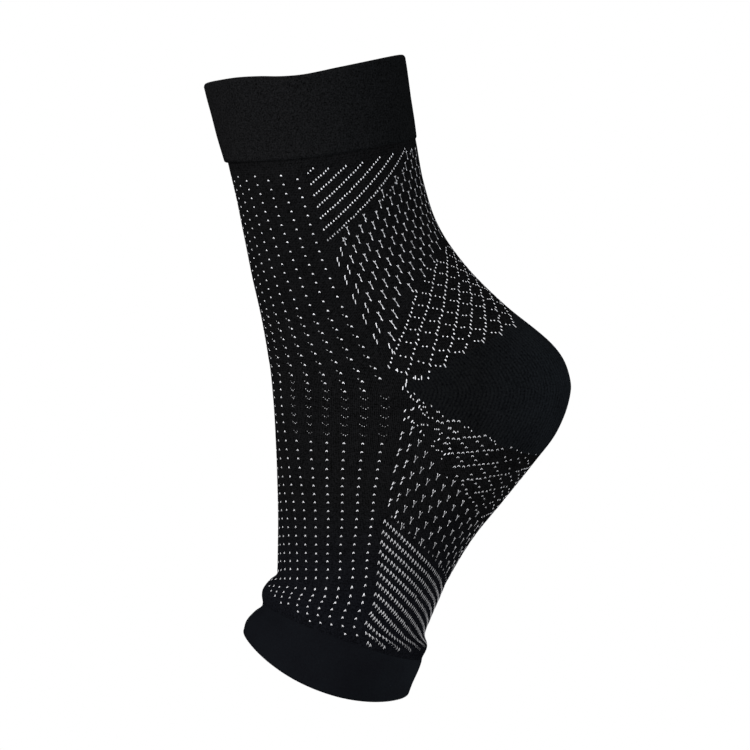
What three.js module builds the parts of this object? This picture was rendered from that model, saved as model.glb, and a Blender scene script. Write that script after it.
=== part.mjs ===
// Ankle compression sleeve with an open toe, as it sits on a pointed foot.
// Millimetres, +Z up the leg, +X towards the heel, mirror-symmetric about the plane y = 0.
// The origin is the middle of the ankle joint that the sleeve is worn on.
import * as THREE from "three";

// Driving dimensions
const KNIT_WALL = 1.2; // single compression knit of the leg and foot
const HEEL_WALL = 1.6; // thicker plain knit of the heel
const WELT_WALL = 2.4; // a welt is the knit folded double
const SEAM_GAP = 0.3; // clearance between neighbouring pieces
const SIDES = 44; // columns of facets round the leg
const FOLD_STEPS = 4; // facets round a folded edge
const RING_SAMPLES = 240; // points that measure the girth of a section
const NUDGE = 1e-3; // small step that measures slopes of the surface

// A section is a closed ring between a point on the front line (shin and instep) and one on the back line
// (Achilles, heel and sole), both in the plane y = 0.
// row: rows of knit down the front from the ankle welt, about 3.7 mm each
// sideDip: how far the ring hangs towards the toe at the two sides
// egg: above 0 the ring is wider at the front, below 0 at the back
// square: 2 is an ellipse, more is fuller at the corners
const COLUMNS = ["row", "frontX", "frontZ", "backX", "backZ", "halfWidth", "sideDip", "egg", "square"];

const BODY_SECTIONS = sections([
  [0.0, -64.4, 81.6, 10.4, 91.2, 36.4, 3.0, 0.03, 2.0], // under the ankle welt
  [3.8, -61.2, 68.0, 13.4, 75.2, 35.8, 3.0, 0.05, 2.0],
  [8.1, -58.0, 52.0, 19.2, 58.0, 35.0, 3.0, 0.1, 2.0], // slimmest part of the leg
  [12.4, -54.8, 36.0, 30.4, 41.6, 34.6, 3.0, 0.14, 2.0],
  [16.1, -51.6, 22.0, 46.0, 26.0, 35.0, 3.5, 0.12, 2.05], // top of the heel
  [19.2, -49.4, 10.0, 63.4, 11.8, 35.6, 4.0, 0.08, 2.1],
  [20.6, -48.6, 5.0, 69.9, 3.2, 35.7, 4.3, 0.06, 2.1],
  [22.0, -47.8, 0.0, 72.4, -7.6, 35.8, 4.5, 0.04, 2.15], // ankle and back of the heel
  [25.7, -46.5, -14.0, 67.1, -24.0, 35.8, 4.0, 0.0, 2.15],
  [29.9, -45.7, -28.0, 57.4, -37.2, 36.2, 3.0, -0.03, 2.1], // front of the heel pad
  [34.8, -45.1, -44.0, 45.5, -52.0, 36.8, 2.5, -0.05, 2.1],
  [39.7, -44.8, -60.0, 33.2, -67.2, 38.0, 2.0, -0.06, 2.1],
  [44.6, -45.0, -76.0, 22.8, -84.4, 39.6, 2.0, -0.06, 2.1], // instep
  [46.0, -45.4, -80.9, 18.2, -94.8, 40.6, 1.5, -0.06, 2.1], // start of the bunched roll
  [49.0, -51.5, -89.0, 14.5, -109.4, 41.6, 0.5, -0.06, 2.1], // crest of the roll
  [50.3, -50.9, -92.9, 13.5, -115.2, 40.6, 0.0, -0.06, 2.1], // tuck at the toe welt
]);

const ANKLE_WELT_SECTIONS = sections([
  [0.0, -74.1, 112.8, 6.0, 124.8, 37.6, 2.2, 0.02, 2.0], // rim that the leg goes in by
  [4.5, -70.0, 96.8, 8.7, 106.4, 37.4, 2.4, 0.02, 2.0],
  [8.0, -66.0, 82.4, 10.8, 92.2, 37.4, 3.0, 0.03, 2.0], // lower edge, proud of the leg
]);

const TOE_WELT_SECTIONS = sections([
  [0.0, -50.8, -93.2, 13.4, -115.5, 40.6, 0.0, -0.06, 2.1], // notch below the roll
  [0.5, -51.4, -94.8, 12.7, -117.3, 40.7, 0.3, -0.06, 2.1],
  [1.5, -54.4, -97.0, 11.2, -120.5, 41.4, 1.5, -0.06, 2.1],
  [2.7, -57.5, -100.4, 9.2, -125.0, 42.4, 3.6, -0.05, 2.1],
  [3.7, -58.7, -104.3, 7.6, -129.3, 42.8, 6.4, -0.04, 2.1], // rim that the toes come out of
]);

// The heel pocket is a wedge let in between leg and foot: it opens at a point on each side of the ankle
// and is widest down the back line.
const HEEL_POINT_SIDE = 10; // column of facets that the wedge's point lies on, counted from the front
const HEEL_POINT_SHARE = HEEL_POINT_SIDE / SIDES; // the same place as a share of the girth
const HEEL_END_SHARE = 0.005; // girth left off the sharp point, so that it ends in a small face
const ANKLE_ROW = 21.6; // row of the wedge's point, where leg and foot meet
const HEEL_TOP_ROW = 16.5;
const HEEL_BOTTOM_ROW = 28.9;
const HEEL_TOP_CURVE = 0.8; // power that bows the wedge's upper edge

const LEG_STEPS = 13;
const HEEL_STEPS = 12;
const FOOT_STEPS = 18;
const ANKLE_WELT_STEPS = 5;
const TOE_WELT_STEPS = 6;

function sections(rows) {
  return rows.map((row) => Object.fromEntries(COLUMNS.map((name, i) => [name, row[i]])));
}

// Smooth curve through one column of a table: cubic pieces whose slopes come from the neighbouring rows.
function columnAt(table, name, row) {
  const last = table.length - 1;
  const slope = (i) => {
    const a = table[Math.max(i - 1, 0)];
    const b = table[Math.min(i + 1, last)];
    return (b[name] - a[name]) / (b.row - a.row);
  };
  let i = 0;
  while (i < last - 1 && row > table[i + 1].row) i += 1;
  const from = table[i];
  const to = table[i + 1];
  const span = to.row - from.row;
  const t = (row - from.row) / span;
  const blend = t * t * (3 - 2 * t);
  const leave = t * (1 - t) * (1 - t) * span * slope(i);
  const arrive = t * t * (t - 1) * span * slope(i + 1);
  return from[name] + blend * (to[name] - from[name]) + leave + arrive;
}

function sectionAt(table, row) {
  return Object.fromEntries(COLUMNS.map((name) => [name, columnAt(table, name, row)]));
}

// Point of a section's ring at an angle from the front: a superellipse across the line from front to back.
function ringPoint(s, angle) {
  const power = 2 / s.square;
  const cos = Math.cos(angle);
  const sin = Math.sin(angle);
  const towardsBack = -Math.sign(cos) * Math.abs(cos) ** power;
  const across = s.halfWidth * Math.sign(sin) * Math.abs(sin) ** power * (1 + s.egg * cos);
  const halfX = (s.backX - s.frontX) / 2;
  const halfZ = (s.backZ - s.frontZ) / 2;
  const halfDepth = Math.hypot(halfX, halfZ);
  const dip = s.sideDip * sin * sin;
  return new THREE.Vector3(
    s.frontX + halfX * (1 + towardsBack) + (halfZ / halfDepth) * dip,
    -across,
    s.frontZ + halfZ * (1 + towardsBack) - (halfX / halfDepth) * dip,
  );
}

// Angle at which a share of the ring's girth has been passed, counted from the front.
function angleAtShare(s, share) {
  const lengths = [0];
  let before = ringPoint(s, 0);
  for (let k = 1; k <= RING_SAMPLES; k += 1) {
    const point = ringPoint(s, (2 * Math.PI * k) / RING_SAMPLES);
    lengths.push(lengths[k - 1] + point.distanceTo(before));
    before = point;
  }
  const goal = (share - Math.floor(share)) * lengths[RING_SAMPLES];
  let k = 0;
  while (k < RING_SAMPLES - 1 && lengths[k + 1] < goal) k += 1;
  const part = (goal - lengths[k]) / (lengths[k + 1] - lengths[k]);
  return (2 * Math.PI * (k + part)) / RING_SAMPLES;
}

function surfacePoint(table, share, row) {
  const section = sectionAt(table, row);
  return ringPoint(section, angleAtShare(section, share));
}

// Slopes of the surface: along the rows, and the unit normal that points out of the sleeve.
function surfaceFrame(table, share, row) {
  const along = surfacePoint(table, share, row + NUDGE).sub(surfacePoint(table, share, row - NUDGE));
  const round = surfacePoint(table, share + NUDGE, row).sub(surfacePoint(table, share - NUDGE, row));
  const rowLength = along.length() / (2 * NUDGE);
  along.normalize();
  const out = new THREE.Vector3().crossVectors(along, round).normalize();
  return { along, out, rowLength };
}

// One column of a wall: down the outside, round the end edge, back up the inside and round the start edge.
// A folded edge is a half circle as wide as the wall, and any other edge is cut square.
function wallColumn(piece, share) {
  const { table, wall, steps, startRow, endRow, startGap, endGap, startFolded, endFolded } = piece;
  const start = startRow(share);
  const end = endRow(share);
  const first = start + startGap / surfaceFrame(table, share, start).rowLength;
  const last = end - endGap / surfaceFrame(table, share, end).rowLength;
  const outside = [];
  const inside = [];
  const frames = [];
  for (let k = 0; k <= steps; k += 1) {
    const row = first + ((last - first) * k) / steps;
    const frame = surfaceFrame(table, share, row);
    const point = surfacePoint(table, share, row);
    outside.push(point);
    inside.push(point.clone().addScaledVector(frame.out, -wall));
    frames.push(frame);
  }
  const fold = (k, side) => {
    const middle = outside[k].clone().lerp(inside[k], 0.5);
    const turns = Array.from({ length: FOLD_STEPS - 1 }, (_, i) => (Math.PI * (i + 1)) / FOLD_STEPS);
    return turns.map((turn) =>
      middle
        .clone()
        .addScaledVector(frames[k].out, side * Math.cos(turn) * (wall / 2))
        .addScaledVector(frames[k].along, side * Math.sin(turn) * (wall / 2)),
    );
  };
  const startEdge = startFolded ? fold(0, -1) : [];
  const endEdge = endFolded ? fold(steps, 1) : [];
  return [...outside, ...endEdge, ...inside.reverse(), ...startEdge];
}

// Closed mesh from the columns of a wall. A ring joins its last column to its first, and a pocket gets an end
// face on each side instead.
function wallGeometry(columns, ring, steps) {
  const size = columns[0].length;
  const triangles = [];
  const quad = (a, b, c, d) => triangles.push(a, b, c, a, c, d);
  const spans = ring ? columns.length : columns.length - 1;
  for (let j = 0; j < spans; j += 1) {
    const here = j * size;
    const next = ((j + 1) % columns.length) * size;
    for (let k = 0; k < size; k += 1) {
      const below = (k + 1) % size;
      quad(here + k, here + below, next + below, next + k);
    }
  }
  if (!ring) {
    const far = (columns.length - 1) * size;
    for (let k = 0; k < steps; k += 1) {
      const inside = size - 1 - k;
      quad(k, inside, inside - 1, k + 1);
      quad(far + k, far + k + 1, far + inside - 1, far + inside);
    }
  }
  const positions = columns.flat().flatMap((point) => point.toArray());
  const geometry = new THREE.BufferGeometry();
  geometry.setAttribute("position", new THREE.Float32BufferAttribute(positions, 3));
  geometry.setIndex(triangles);
  geometry.computeVertexNormals();
  return geometry;
}

function ringShares() {
  return Array.from({ length: SIDES }, (_, j) => j / SIDES);
}

// How far round a share lies from the wedge's point (0) to the back line (1); below 0 in front of the point.
function wedgePart(share) {
  const fromFront = Math.min(share, 1 - share);
  return (fromFront - HEEL_POINT_SHARE) / (0.5 - HEEL_POINT_SHARE);
}

function heelTopRow(share) {
  const part = Math.max(wedgePart(share), 0);
  return ANKLE_ROW - (ANKLE_ROW - HEEL_TOP_ROW) * part ** HEEL_TOP_CURVE;
}

function heelBottomRow(share) {
  const part = Math.max(wedgePart(share), 0);
  return ANKLE_ROW + (HEEL_BOTTOM_ROW - ANKLE_ROW) * Math.sin((part * Math.PI) / 2);
}

const firstRow = (table) => () => table[0].row;
const lastRow = (table) => () => table[table.length - 1].row;

function knitMaterial(color, roughness) {
  return new THREE.MeshStandardMaterial({ color, roughness, metalness: 0 });
}

function pieceMesh(name, piece, material, shares = ringShares(), ring = true) {
  const columns = shares.map((share) => wallColumn(piece, share));
  const mesh = new THREE.Mesh(wallGeometry(columns, ring, piece.steps), material);
  mesh.name = name;
  return mesh;
}

// Folded band round the leg opening
function ankleWelt() {
  const piece = {
    table: ANKLE_WELT_SECTIONS,
    wall: WELT_WALL,
    steps: ANKLE_WELT_STEPS,
    startRow: firstRow(ANKLE_WELT_SECTIONS),
    endRow: lastRow(ANKLE_WELT_SECTIONS),
    startGap: 0,
    endGap: SEAM_GAP,
    startFolded: true,
    endFolded: false,
  };
  return pieceMesh("ankle_welt", piece, knitMaterial(0x131316, 0.9));
}

// Leg of the sleeve, from the welt down to the ankle and the heel's upper edge
function legTube() {
  const piece = {
    table: BODY_SECTIONS,
    wall: KNIT_WALL,
    steps: LEG_STEPS,
    startRow: firstRow(BODY_SECTIONS),
    endRow: heelTopRow,
    startGap: 0,
    endGap: SEAM_GAP / 2,
    startFolded: false,
    endFolded: false,
  };
  return pieceMesh("leg_tube", piece, knitMaterial(0x1c1c20, 0.85));
}

// Rounded heel pocket, pointed at both sides of the ankle
function heelPocket() {
  const piece = {
    table: BODY_SECTIONS,
    wall: HEEL_WALL,
    steps: HEEL_STEPS,
    startRow: heelTopRow,
    endRow: heelBottomRow,
    startGap: SEAM_GAP / 2,
    endGap: SEAM_GAP / 2,
    startFolded: false,
    endFolded: false,
  };
  const from = HEEL_POINT_SHARE + HEEL_END_SHARE;
  const between = ringShares().slice(HEEL_POINT_SIDE + 1, SIDES - HEEL_POINT_SIDE);
  const shares = [from, ...between, 1 - from];
  return pieceMesh("heel_pocket", piece, knitMaterial(0x121317, 0.9), shares, false);
}

// Instep and sole, from the ankle to the roll that bunches above the toe welt
function footTube() {
  const piece = {
    table: BODY_SECTIONS,
    wall: KNIT_WALL,
    steps: FOOT_STEPS,
    startRow: heelBottomRow,
    endRow: lastRow(BODY_SECTIONS),
    startGap: SEAM_GAP / 2,
    endGap: 0,
    startFolded: false,
    endFolded: false,
  };
  return pieceMesh("foot_tube", piece, knitMaterial(0x1c1c20, 0.85));
}

// Folded band round the toe opening, flared like a short skirt
function toeWelt() {
  const piece = {
    table: TOE_WELT_SECTIONS,
    wall: WELT_WALL,
    steps: TOE_WELT_STEPS,
    startRow: firstRow(TOE_WELT_SECTIONS),
    endRow: lastRow(TOE_WELT_SECTIONS),
    startGap: SEAM_GAP,
    endGap: 0,
    startFolded: false,
    endFolded: true,
  };
  return pieceMesh("toe_welt", piece, knitMaterial(0x131316, 0.9));
}

const sleeve = new THREE.Group();
sleeve.add(ankleWelt(), legTube(), heelPocket(), footTube(), toeWelt());

export default sleeve;
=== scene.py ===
import bmesh
import bpy
import numpy as np
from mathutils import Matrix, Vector


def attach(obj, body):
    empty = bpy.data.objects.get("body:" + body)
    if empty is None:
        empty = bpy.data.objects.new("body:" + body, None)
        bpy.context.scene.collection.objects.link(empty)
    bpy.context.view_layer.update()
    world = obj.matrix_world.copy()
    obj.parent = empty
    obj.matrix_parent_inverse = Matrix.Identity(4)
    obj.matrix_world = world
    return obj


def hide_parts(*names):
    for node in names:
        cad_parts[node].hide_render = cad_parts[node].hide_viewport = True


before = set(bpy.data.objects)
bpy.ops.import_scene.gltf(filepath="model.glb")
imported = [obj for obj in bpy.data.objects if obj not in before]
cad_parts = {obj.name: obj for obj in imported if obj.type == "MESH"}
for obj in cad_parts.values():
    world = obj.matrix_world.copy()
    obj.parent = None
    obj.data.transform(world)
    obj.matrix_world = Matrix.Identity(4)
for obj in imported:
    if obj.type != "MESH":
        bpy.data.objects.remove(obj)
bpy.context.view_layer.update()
mm = 0.001  # tables and shapes below are in millimetres, meshes in metres
rng = np.random.default_rng(41)


# Camera, lamps and floor
studio = {
    "aim": (-0.006, 0.0, -0.002),
    "elevation": 2.0,
    "distance": 1.6,
    "lens": 192.0,  # shows 300 mm at the sleeve's middle
    "floorHeight": -0.212,
    "floorHalf": 0.34,
}


def lookAt(thing, target):
    way = Vector(target) - thing.location
    thing.rotation_euler = way.to_track_quat("-Z", "Y").to_euler()


# Round lamp turned to the sleeve: place and size in metres, light in watts
def addLamp(name, place, size, watts, tint=(1.0, 1.0, 1.0)):
    lamp = bpy.data.lights.new(name, "AREA")
    lamp.color = tint
    lamp.shape = "DISK"
    lamp.size = size
    lamp.energy = watts
    holder = bpy.data.objects.new(name, lamp)
    holder.location = place
    scene.collection.objects.link(holder)
    lookAt(holder, studio["aim"])


scene = bpy.context.scene
cameraData = bpy.data.cameras.new("photoCamera")
cameraData.lens = studio["lens"]
camera = bpy.data.objects.new("photoCamera", cameraData)
tilt = np.radians(studio["elevation"])
camera.location = Vector(studio["aim"]) + studio["distance"] * Vector((0, -np.cos(tilt), np.sin(tilt)))
scene.collection.objects.link(camera)
lookAt(camera, studio["aim"])
scene.camera = camera
scene.view_settings.view_transform = "Standard"

addLamp("keyLamp", (-0.95, -0.95, 0.7), 0.7, 22.0)
addLamp("fillLamp", (0.9, -0.8, 0.3), 0.9, 2.0)
addLamp("topLamp", (0.1, 0.5, 1.2), 0.8, 5.0)
addLamp("lowLamp", (0.45, -0.85, -0.8), 0.9, 8.0, (0.5, 0.72, 1.0))  # bluish, for heel and toe
print("studio: camera and lamps placed")


# One function turns sRGB hex to linear colour
def hexColour(text):
    parts = np.array([int(text[i:i + 2], 16) for i in (1, 3, 5)]) / 255
    linear = np.where(parts <= 0.04045, parts / 12.92, ((parts + 0.055) / 1.055) ** 2.4)
    return (*[float(v) for v in linear], 1.0)


# Adds a node: settings are set on it, and each input takes a value or a link
def addNode(tree, kind, inputs=None, **settings):
    node = tree.nodes.new(kind)
    for name, value in settings.items():
        setattr(node, name, value)
    for socket, value in (inputs or {}).items():
        if isinstance(value, bpy.types.NodeSocket):
            tree.links.new(value, node.inputs[socket])
        else:
            node.inputs[socket].default_value = value
    return node


def addMath(tree, operation, *values):
    return addNode(tree, "ShaderNodeMath", dict(enumerate(values)), operation=operation).outputs[0]


# Mix of two colours; sockets 6 and 7 are the colour pair
def addMix(tree, factor, first, second):
    mix = addNode(tree, "ShaderNodeMix", {"Factor": factor, 6: first, 7: second}, data_type="RGBA")
    return mix.outputs[2]


# Noise in the piece's own place, with a grain given in millimetres
def addNoise(tree, place, grain, detail):
    inputs = {"Vector": place, "Scale": 1 / (grain * mm), "Detail": detail}
    return addNode(tree, "ShaderNodeTexNoise", inputs).outputs["Fac"]


def newMaterial(name):
    material = bpy.data.materials.new(name)
    material.use_nodes = True
    material.node_tree.nodes.clear()
    return material, material.node_tree


# Surface of a material from its colour and, where it has one, its height
def addSurface(tree, colour, look, height=None):
    inputs = {"Base Color": colour, "Roughness": look["roughness"], "Specular IOR Level": look["specular"]}
    if height is not None:
        inputs["Normal"] = addNode(tree, "ShaderNodeBump", {
            "Height": height, "Strength": look["bump"], "Distance": look["bumpHeight"] * mm}).outputs[0]
    shader = addNode(tree, "ShaderNodeBsdfPrincipled", inputs)
    addNode(tree, "ShaderNodeOutputMaterial", {"Surface": shader.outputs[0]})


world = bpy.data.worlds.new("paleStudio")
world.use_nodes = True
world.node_tree.nodes.clear()
sky = addNode(world.node_tree, "ShaderNodeBackground", {"Color": (1, 1, 1, 1)})
addNode(world.node_tree, "ShaderNodeOutputWorld", {"Surface": sky.outputs[0]})
scene.world = world


# Knitted nylon and elastane, knit by machine in plain stitch: matt and nearly black, with columns of small
# legs that meet in points towards the leg opening, and a faint fibre speckle. The legs follow the stitches'
# UV map, one unit a stitch (about 1.25 mm across and 0.93 mm along). The colour is painted darker in the
# valleys between the legs and lighter on their tops, painted shade and light on the relief, mixed with the
# real fibre speckle and patchy tone.
plainLook = {"drawn": 1, "slant": 0.5, "rowShare": 0.5, "paintedLightAxis": "X", "bumpHeight": 0.2, "roughness": 0.9,
             "specular": 0.0}


def knitMaterial(name, ownLook):
    look = {**plainLook, **ownLook}
    material, tree = newMaterial(name)
    uv = addNode(tree, "ShaderNodeUVMap", uv_map="stitches")
    split = addNode(tree, "ShaderNodeSeparateXYZ", {0: uv.outputs[0]})
    wale = addMath(tree, "MULTIPLY", split.outputs[0], 1 / look["drawn"])
    fromMiddle = addMath(tree, "MULTIPLY_ADD", addMath(tree, "PINGPONG", wale, 0.5), -2.0, 1.0)
    phase = addMath(tree, "MULTIPLY_ADD", fromMiddle, -look["slant"], split.outputs[1])
    swell = addMath(tree, "SINE", addMath(tree, "MULTIPLY", addMath(tree, "FRACT", phase), np.pi))
    rise = addMath(tree, "MULTIPLY_ADD", swell, look["rowShare"], 1 - look["rowShare"])
    leg = addMath(tree, "SINE", addMath(tree, "MULTIPLY", fromMiddle, np.pi))
    stitch = addMath(tree, "MULTIPLY", rise, leg)
    place = addNode(tree, "ShaderNodeTexCoord").outputs["Object"]
    fluff = addMath(tree, "MULTIPLY", addNoise(tree, place, look["fibre"], 2.0), look["fibreShare"])
    height = addMath(tree, "MULTIPLY_ADD", stitch, look["stitchShare"], fluff)
    patch = addNoise(tree, place, look["patch"], 3.0)
    shade = addMath(tree, "MULTIPLY_ADD", patch, look["patchShare"], height)
    spread = addNode(tree, "ShaderNodeMapRange",
                     {"Value": shade, "From Min": look["from"], "From Max": look["to"]})
    # Painted light and shade: along one axis the colours move towards a second pair, where the light falls
    # differently
    axes = addNode(tree, "ShaderNodeSeparateXYZ", {0: place})
    fade = addNode(tree, "ShaderNodeMapRange",
                   {"Value": axes.outputs[look["paintedLightAxis"]],
                    "From Min": look["paintedLightFrom"] * mm, "From Max": look["paintedLightTo"] * mm})
    shadedValley = addMix(tree, fade.outputs[0], hexColour(look["shadedValley"]), hexColour(look["paintedLightEndValley"]))
    litRidge = addMix(tree, fade.outputs[0], hexColour(look["litRidge"]), hexColour(look["paintedLightEndRidge"]))
    # Mix from the painted shade of the valleys to the painted light of the ridges, by stitch height, speckle
    # and patches
    colour = addMix(tree, spread.outputs[0], shadedValley, litRidge)
    addSurface(tree, colour, look, height)
    return material


# Leg and foot: dull black with a soft grain of stitches, and painted bluish light from below that makes it a
# little bluer towards the toes
patternedKnit = knitMaterial("knittedNylonElastane", {
    "slant": 0.55, "rowShare": 0.6, "stitchShare": 0.7, "fibre": 0.7, "fibreShare": 1.8, "patch": 9.0,
    "patchShare": 0.4, "from": 0.95, "to": 1.95, "shadedValley": "#020202", "litRidge": "#121213", "bump": 0.6,
    "paintedLightAxis": "Z", "paintedLightFrom": -50, "paintedLightTo": -90, "paintedLightEndValley": "#030304", "paintedLightEndRidge": "#111216",
})
# Ankle band: brushed black with a strong speckle that hides the stitches, and painted shade that makes it
# duller towards the back, away from the key lamp
weltKnit = knitMaterial("brushedNylonElastane", {
    "stitchShare": 0.15, "fibre": 0.6, "fibreShare": 2.0, "patch": 6.0, "patchShare": 0.1,
    "from": 0.6, "to": 1.55, "shadedValley": "#020202", "litRidge": "#151516", "bump": 1.0,
    "paintedLightFrom": -40, "paintedLightTo": 5, "paintedLightEndValley": "#020202", "paintedLightEndRidge": "#131415",
})
# Toe band: smooth bluish black with hardly any grain, and painted bluish light from below that makes it
# lighter towards the sole
toeKnit = knitMaterial("smoothNylonElastane", {
    "stitchShare": 0.1, "fibre": 0.5, "fibreShare": 0.8, "patch": 10.0, "patchShare": 0.5,
    "from": 0.4, "to": 1.0, "shadedValley": "#09090c", "litRidge": "#0d0f12", "bump": 0.2, "bumpHeight": 0.1,
    "paintedLightFrom": -12, "paintedLightTo": 12, "paintedLightEndValley": "#0e0f12", "paintedLightEndRidge": "#14171b",
})
# Heel: black with fine lines that bend round the heel, and a painted bluish sheen at the back, painted light
# from below. Its legs are too fine to show, so they are drawn twice as wide as they are.
heelKnit = knitMaterial("plainKnitNylon", {
    "drawn": 2, "slant": 0.0, "rowShare": 0.1, "stitchShare": 0.35, "fibre": 0.7, "fibreShare": 1.6,
    "patch": 12.0, "patchShare": 0.4, "from": 0.65, "to": 1.75, "shadedValley": "#020203", "litRidge": "#111213",
    "bump": 0.5, "paintedLightFrom": 35, "paintedLightTo": 68, "paintedLightEndValley": "#040405", "paintedLightEndRidge": "#171a1d",
})


# Grey nylon yarn floated on the face of the knit: pale, slightly glossy from its smooth filaments, with each
# stitch a little lighter or darker, which the piece's tone attribute carries. The tone attribute also carries
# painted shade: stitches are darker on the foot and towards the back, where less light falls.
yarnLook = {"dark": "#202022", "pale": "#dcdcdf", "filament": 0.45, "dimmest": 0.78, "brightest": 1.06,
            "bump": 0.4, "bumpHeight": 0.08, "roughness": 0.6, "specular": 0.3}
greyYarn, yarnTree = newMaterial("greyNylonYarn")
toneNode = addNode(yarnTree, "ShaderNodeAttribute", attribute_name="tone")
yarnPlace = addNode(yarnTree, "ShaderNodeTexCoord").outputs["Object"]
filament = addNoise(yarnTree, yarnPlace, yarnLook["filament"], 2.0)
uneven = addNode(yarnTree, "ShaderNodeMapRange",
                 {"Value": filament, "From Min": 0.3, "From Max": 0.7,  # the noise's usual range
                  "To Min": yarnLook["dimmest"], "To Max": yarnLook["brightest"]})
paleness = addMath(yarnTree, "MULTIPLY", toneNode.outputs["Fac"], uneven.outputs[0])
yarnColour = addMix(yarnTree, paleness, hexColour(yarnLook["dark"]), hexColour(yarnLook["pale"]))
addSurface(yarnTree, yarnColour, yarnLook, filament)

# Painted board of the studio floor: pale and matt with a faint mottle
floorLook = {"dark": "#e6e6e6", "pale": "#efefef", "mottlesInMetre": 30.0, "roughness": 0.9, "specular": 0.5}
floorMaterial, floorTree = newMaterial("paintedBoard")
floorPlace = addNode(floorTree, "ShaderNodeTexCoord")
mottle = addNode(floorTree, "ShaderNodeTexNoise",
                 {"Vector": floorPlace.outputs["Object"], "Scale": floorLook["mottlesInMetre"]})
floorColour = addMix(floorTree, mottle.outputs["Fac"],
                     hexColour(floorLook["dark"]), hexColour(floorLook["pale"]))
addSurface(floorTree, floorColour, floorLook)
print("materials: knit, welt, toe, heel, yarn and floor")


# Sections of the sleeve, close to the solids. Columns: row, x and z of the front, x and z of the back, half
# width, dip of the sides below the line from front to back, egg shape, squareness. A row is about 3.7 mm.
bodySections = np.array([
    [0, -64.4, 81.6, 10.4, 91.2, 36.4, 3, 0.03, 2],
    [3.8, -61.2, 68, 13.4, 75.2, 35.8, 3, 0.05, 2],
    [8.1, -58, 52, 19.2, 58, 35, 3, 0.1, 2],
    [12.4, -54.8, 36, 30.4, 41.6, 34.6, 3, 0.14, 2],
    [16.1, -51.6, 22, 46, 26, 35, 3.5, 0.12, 2.05],
    [19.2, -49.4, 10, 63.4, 11.8, 35.6, 4, 0.08, 2.1],
    [20.6, -48.6, 5, 69.9, 3.2, 35.7, 4.3, 0.06, 2.1],
    [22, -47.8, 0, 72.4, -7.6, 35.8, 4.5, 0.04, 2.15],
    [25.7, -46.5, -14, 67.1, -24, 35.8, 4, 0, 2.15],
    [29.9, -45.7, -28, 57.4, -37.2, 36.2, 3, -0.03, 2.1],
    [34.8, -45.1, -44, 45.5, -52, 36.8, 2.5, -0.05, 2.1],
    [39.7, -44.8, -60, 33.2, -67.2, 38, 2, -0.06, 2.1],
    [44.6, -45, -76, 22.8, -84.4, 39.6, 2, -0.06, 2.1],
    [45.6, -45.1, -79.8, 19.6, -91.8, 40.3, 1.7, -0.06, 2.1],
    [46.2, -45.4, -82, 17.7, -96, 40.7, 1.4, -0.06, 2.1],
    [46.9, -48, -84, 16.2, -99.6, 40.9, 1.2, -0.06, 2.1],
    [48.2, -50.7, -87.4, 13.9, -105.8, 41.2, 0.8, -0.06, 2.1],
    [49.2, -51.3, -90, 14.9, -110.6, 41.6, 0.4, -0.06, 2.1],
    [50.3, -50.9, -92.9, 12.8, -115.4, 40.6, 0, -0.06, 2.1],
])
ankleWeltSections = np.array([
    [0, -74.1, 112.8, 6, 124.8, 37.6, 2.2, 0.02, 2],
    [4.5, -70, 96.8, 8.7, 106.4, 37.4, 2.4, 0.02, 2],
    [8, -66, 82.4, 10.8, 92.2, 37.4, 3, 0.03, 2],
])
toeWeltSections = np.array([
    [0, -50.9, -92.9, 12.8, -115.4, 40.6, 0, -0.06, 2.1],
    [0.5, -51.4, -94.8, 12.4, -117.3, 40.7, 0.3, -0.06, 2.1],
    [1.5, -54.4, -97, 11.2, -120.5, 41.4, 1.5, -0.06, 2.1],
    [2.7, -57.5, -100.4, 9.2, -125, 42.4, 3.6, -0.05, 2.1],
    [3.7, -58.7, -104.3, 7.6, -129.3, 42.8, 6.4, -0.04, 2.1],
])
loftRows, loftAngles = 260, 721  # rows and angles in the table of a loft
rowStep, shareStep = 0.04, 0.003  # small steps from which normals are taken
edgeGuard = 0.0001  # keeps a place inside the table's last cell


# Values between the listed rows: a smooth cubic through them, each slope taken across the two neighbours
def between(table, row):
    rows, values = table[:, 0], table[:, 1:]
    before = np.maximum(np.arange(len(rows)) - 1, 0)
    after = np.minimum(np.arange(len(rows)) + 1, len(rows) - 1)
    slopes = (values[after] - values[before]) / (rows[after] - rows[before])[:, None]
    i = np.clip(np.searchsorted(rows, row, side="right") - 1, 0, len(rows) - 2)
    span = (rows[i + 1] - rows[i])[..., None]
    t = (row - rows[i])[..., None] / span
    leave = t * (1 - t) ** 2 * span * slopes[i]
    arrive = t * t * (t - 1) * span * slopes[i + 1]
    return values[i] + t * t * (3 - 2 * t) * (values[i + 1] - values[i]) + leave + arrive


# Value at a place, straight between the rows of a table of places and values
def lookUp(table, place):
    return np.interp(place, *np.transpose(table))


# Straight line through a value at a start
def ramp(place, start, value, slope):
    return value + slope * (place - start)


# Lengths passed at each point of many lines of points
def lengthsAlong(lines):
    steps = np.linalg.norm(np.diff(lines, axis=1), axis=-1)
    return np.concatenate([np.zeros((len(lines), 1)), np.cumsum(steps, axis=1)], axis=1)


# Ring of a section at an angle from the front: a superellipse across the line from front to back, egg shaped
# in plan, whose sides dip by the square of the sine
def ringPoint(section, angle):
    frontX, frontZ, backX, backZ, halfWidth, sideDip, egg, square = np.moveaxis(section, -1, 0)
    power = 2 / square
    cos, sin = np.cos(angle), np.sin(angle)
    towardsBack = -np.sign(cos) * np.abs(cos) ** power
    across = halfWidth * np.sign(sin) * np.abs(sin) ** power * (1 + egg * cos)
    halfX, halfZ = (backX - frontX) / 2, (backZ - frontZ) / 2
    halfDepth = np.hypot(halfX, halfZ)
    dip = sideDip * sin * sin
    x = frontX + halfX * (1 + towardsBack) + halfZ / halfDepth * dip
    z = frontZ + halfZ * (1 + towardsBack) - halfX / halfDepth * dip
    return np.stack([x, -across, z], -1)


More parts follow.
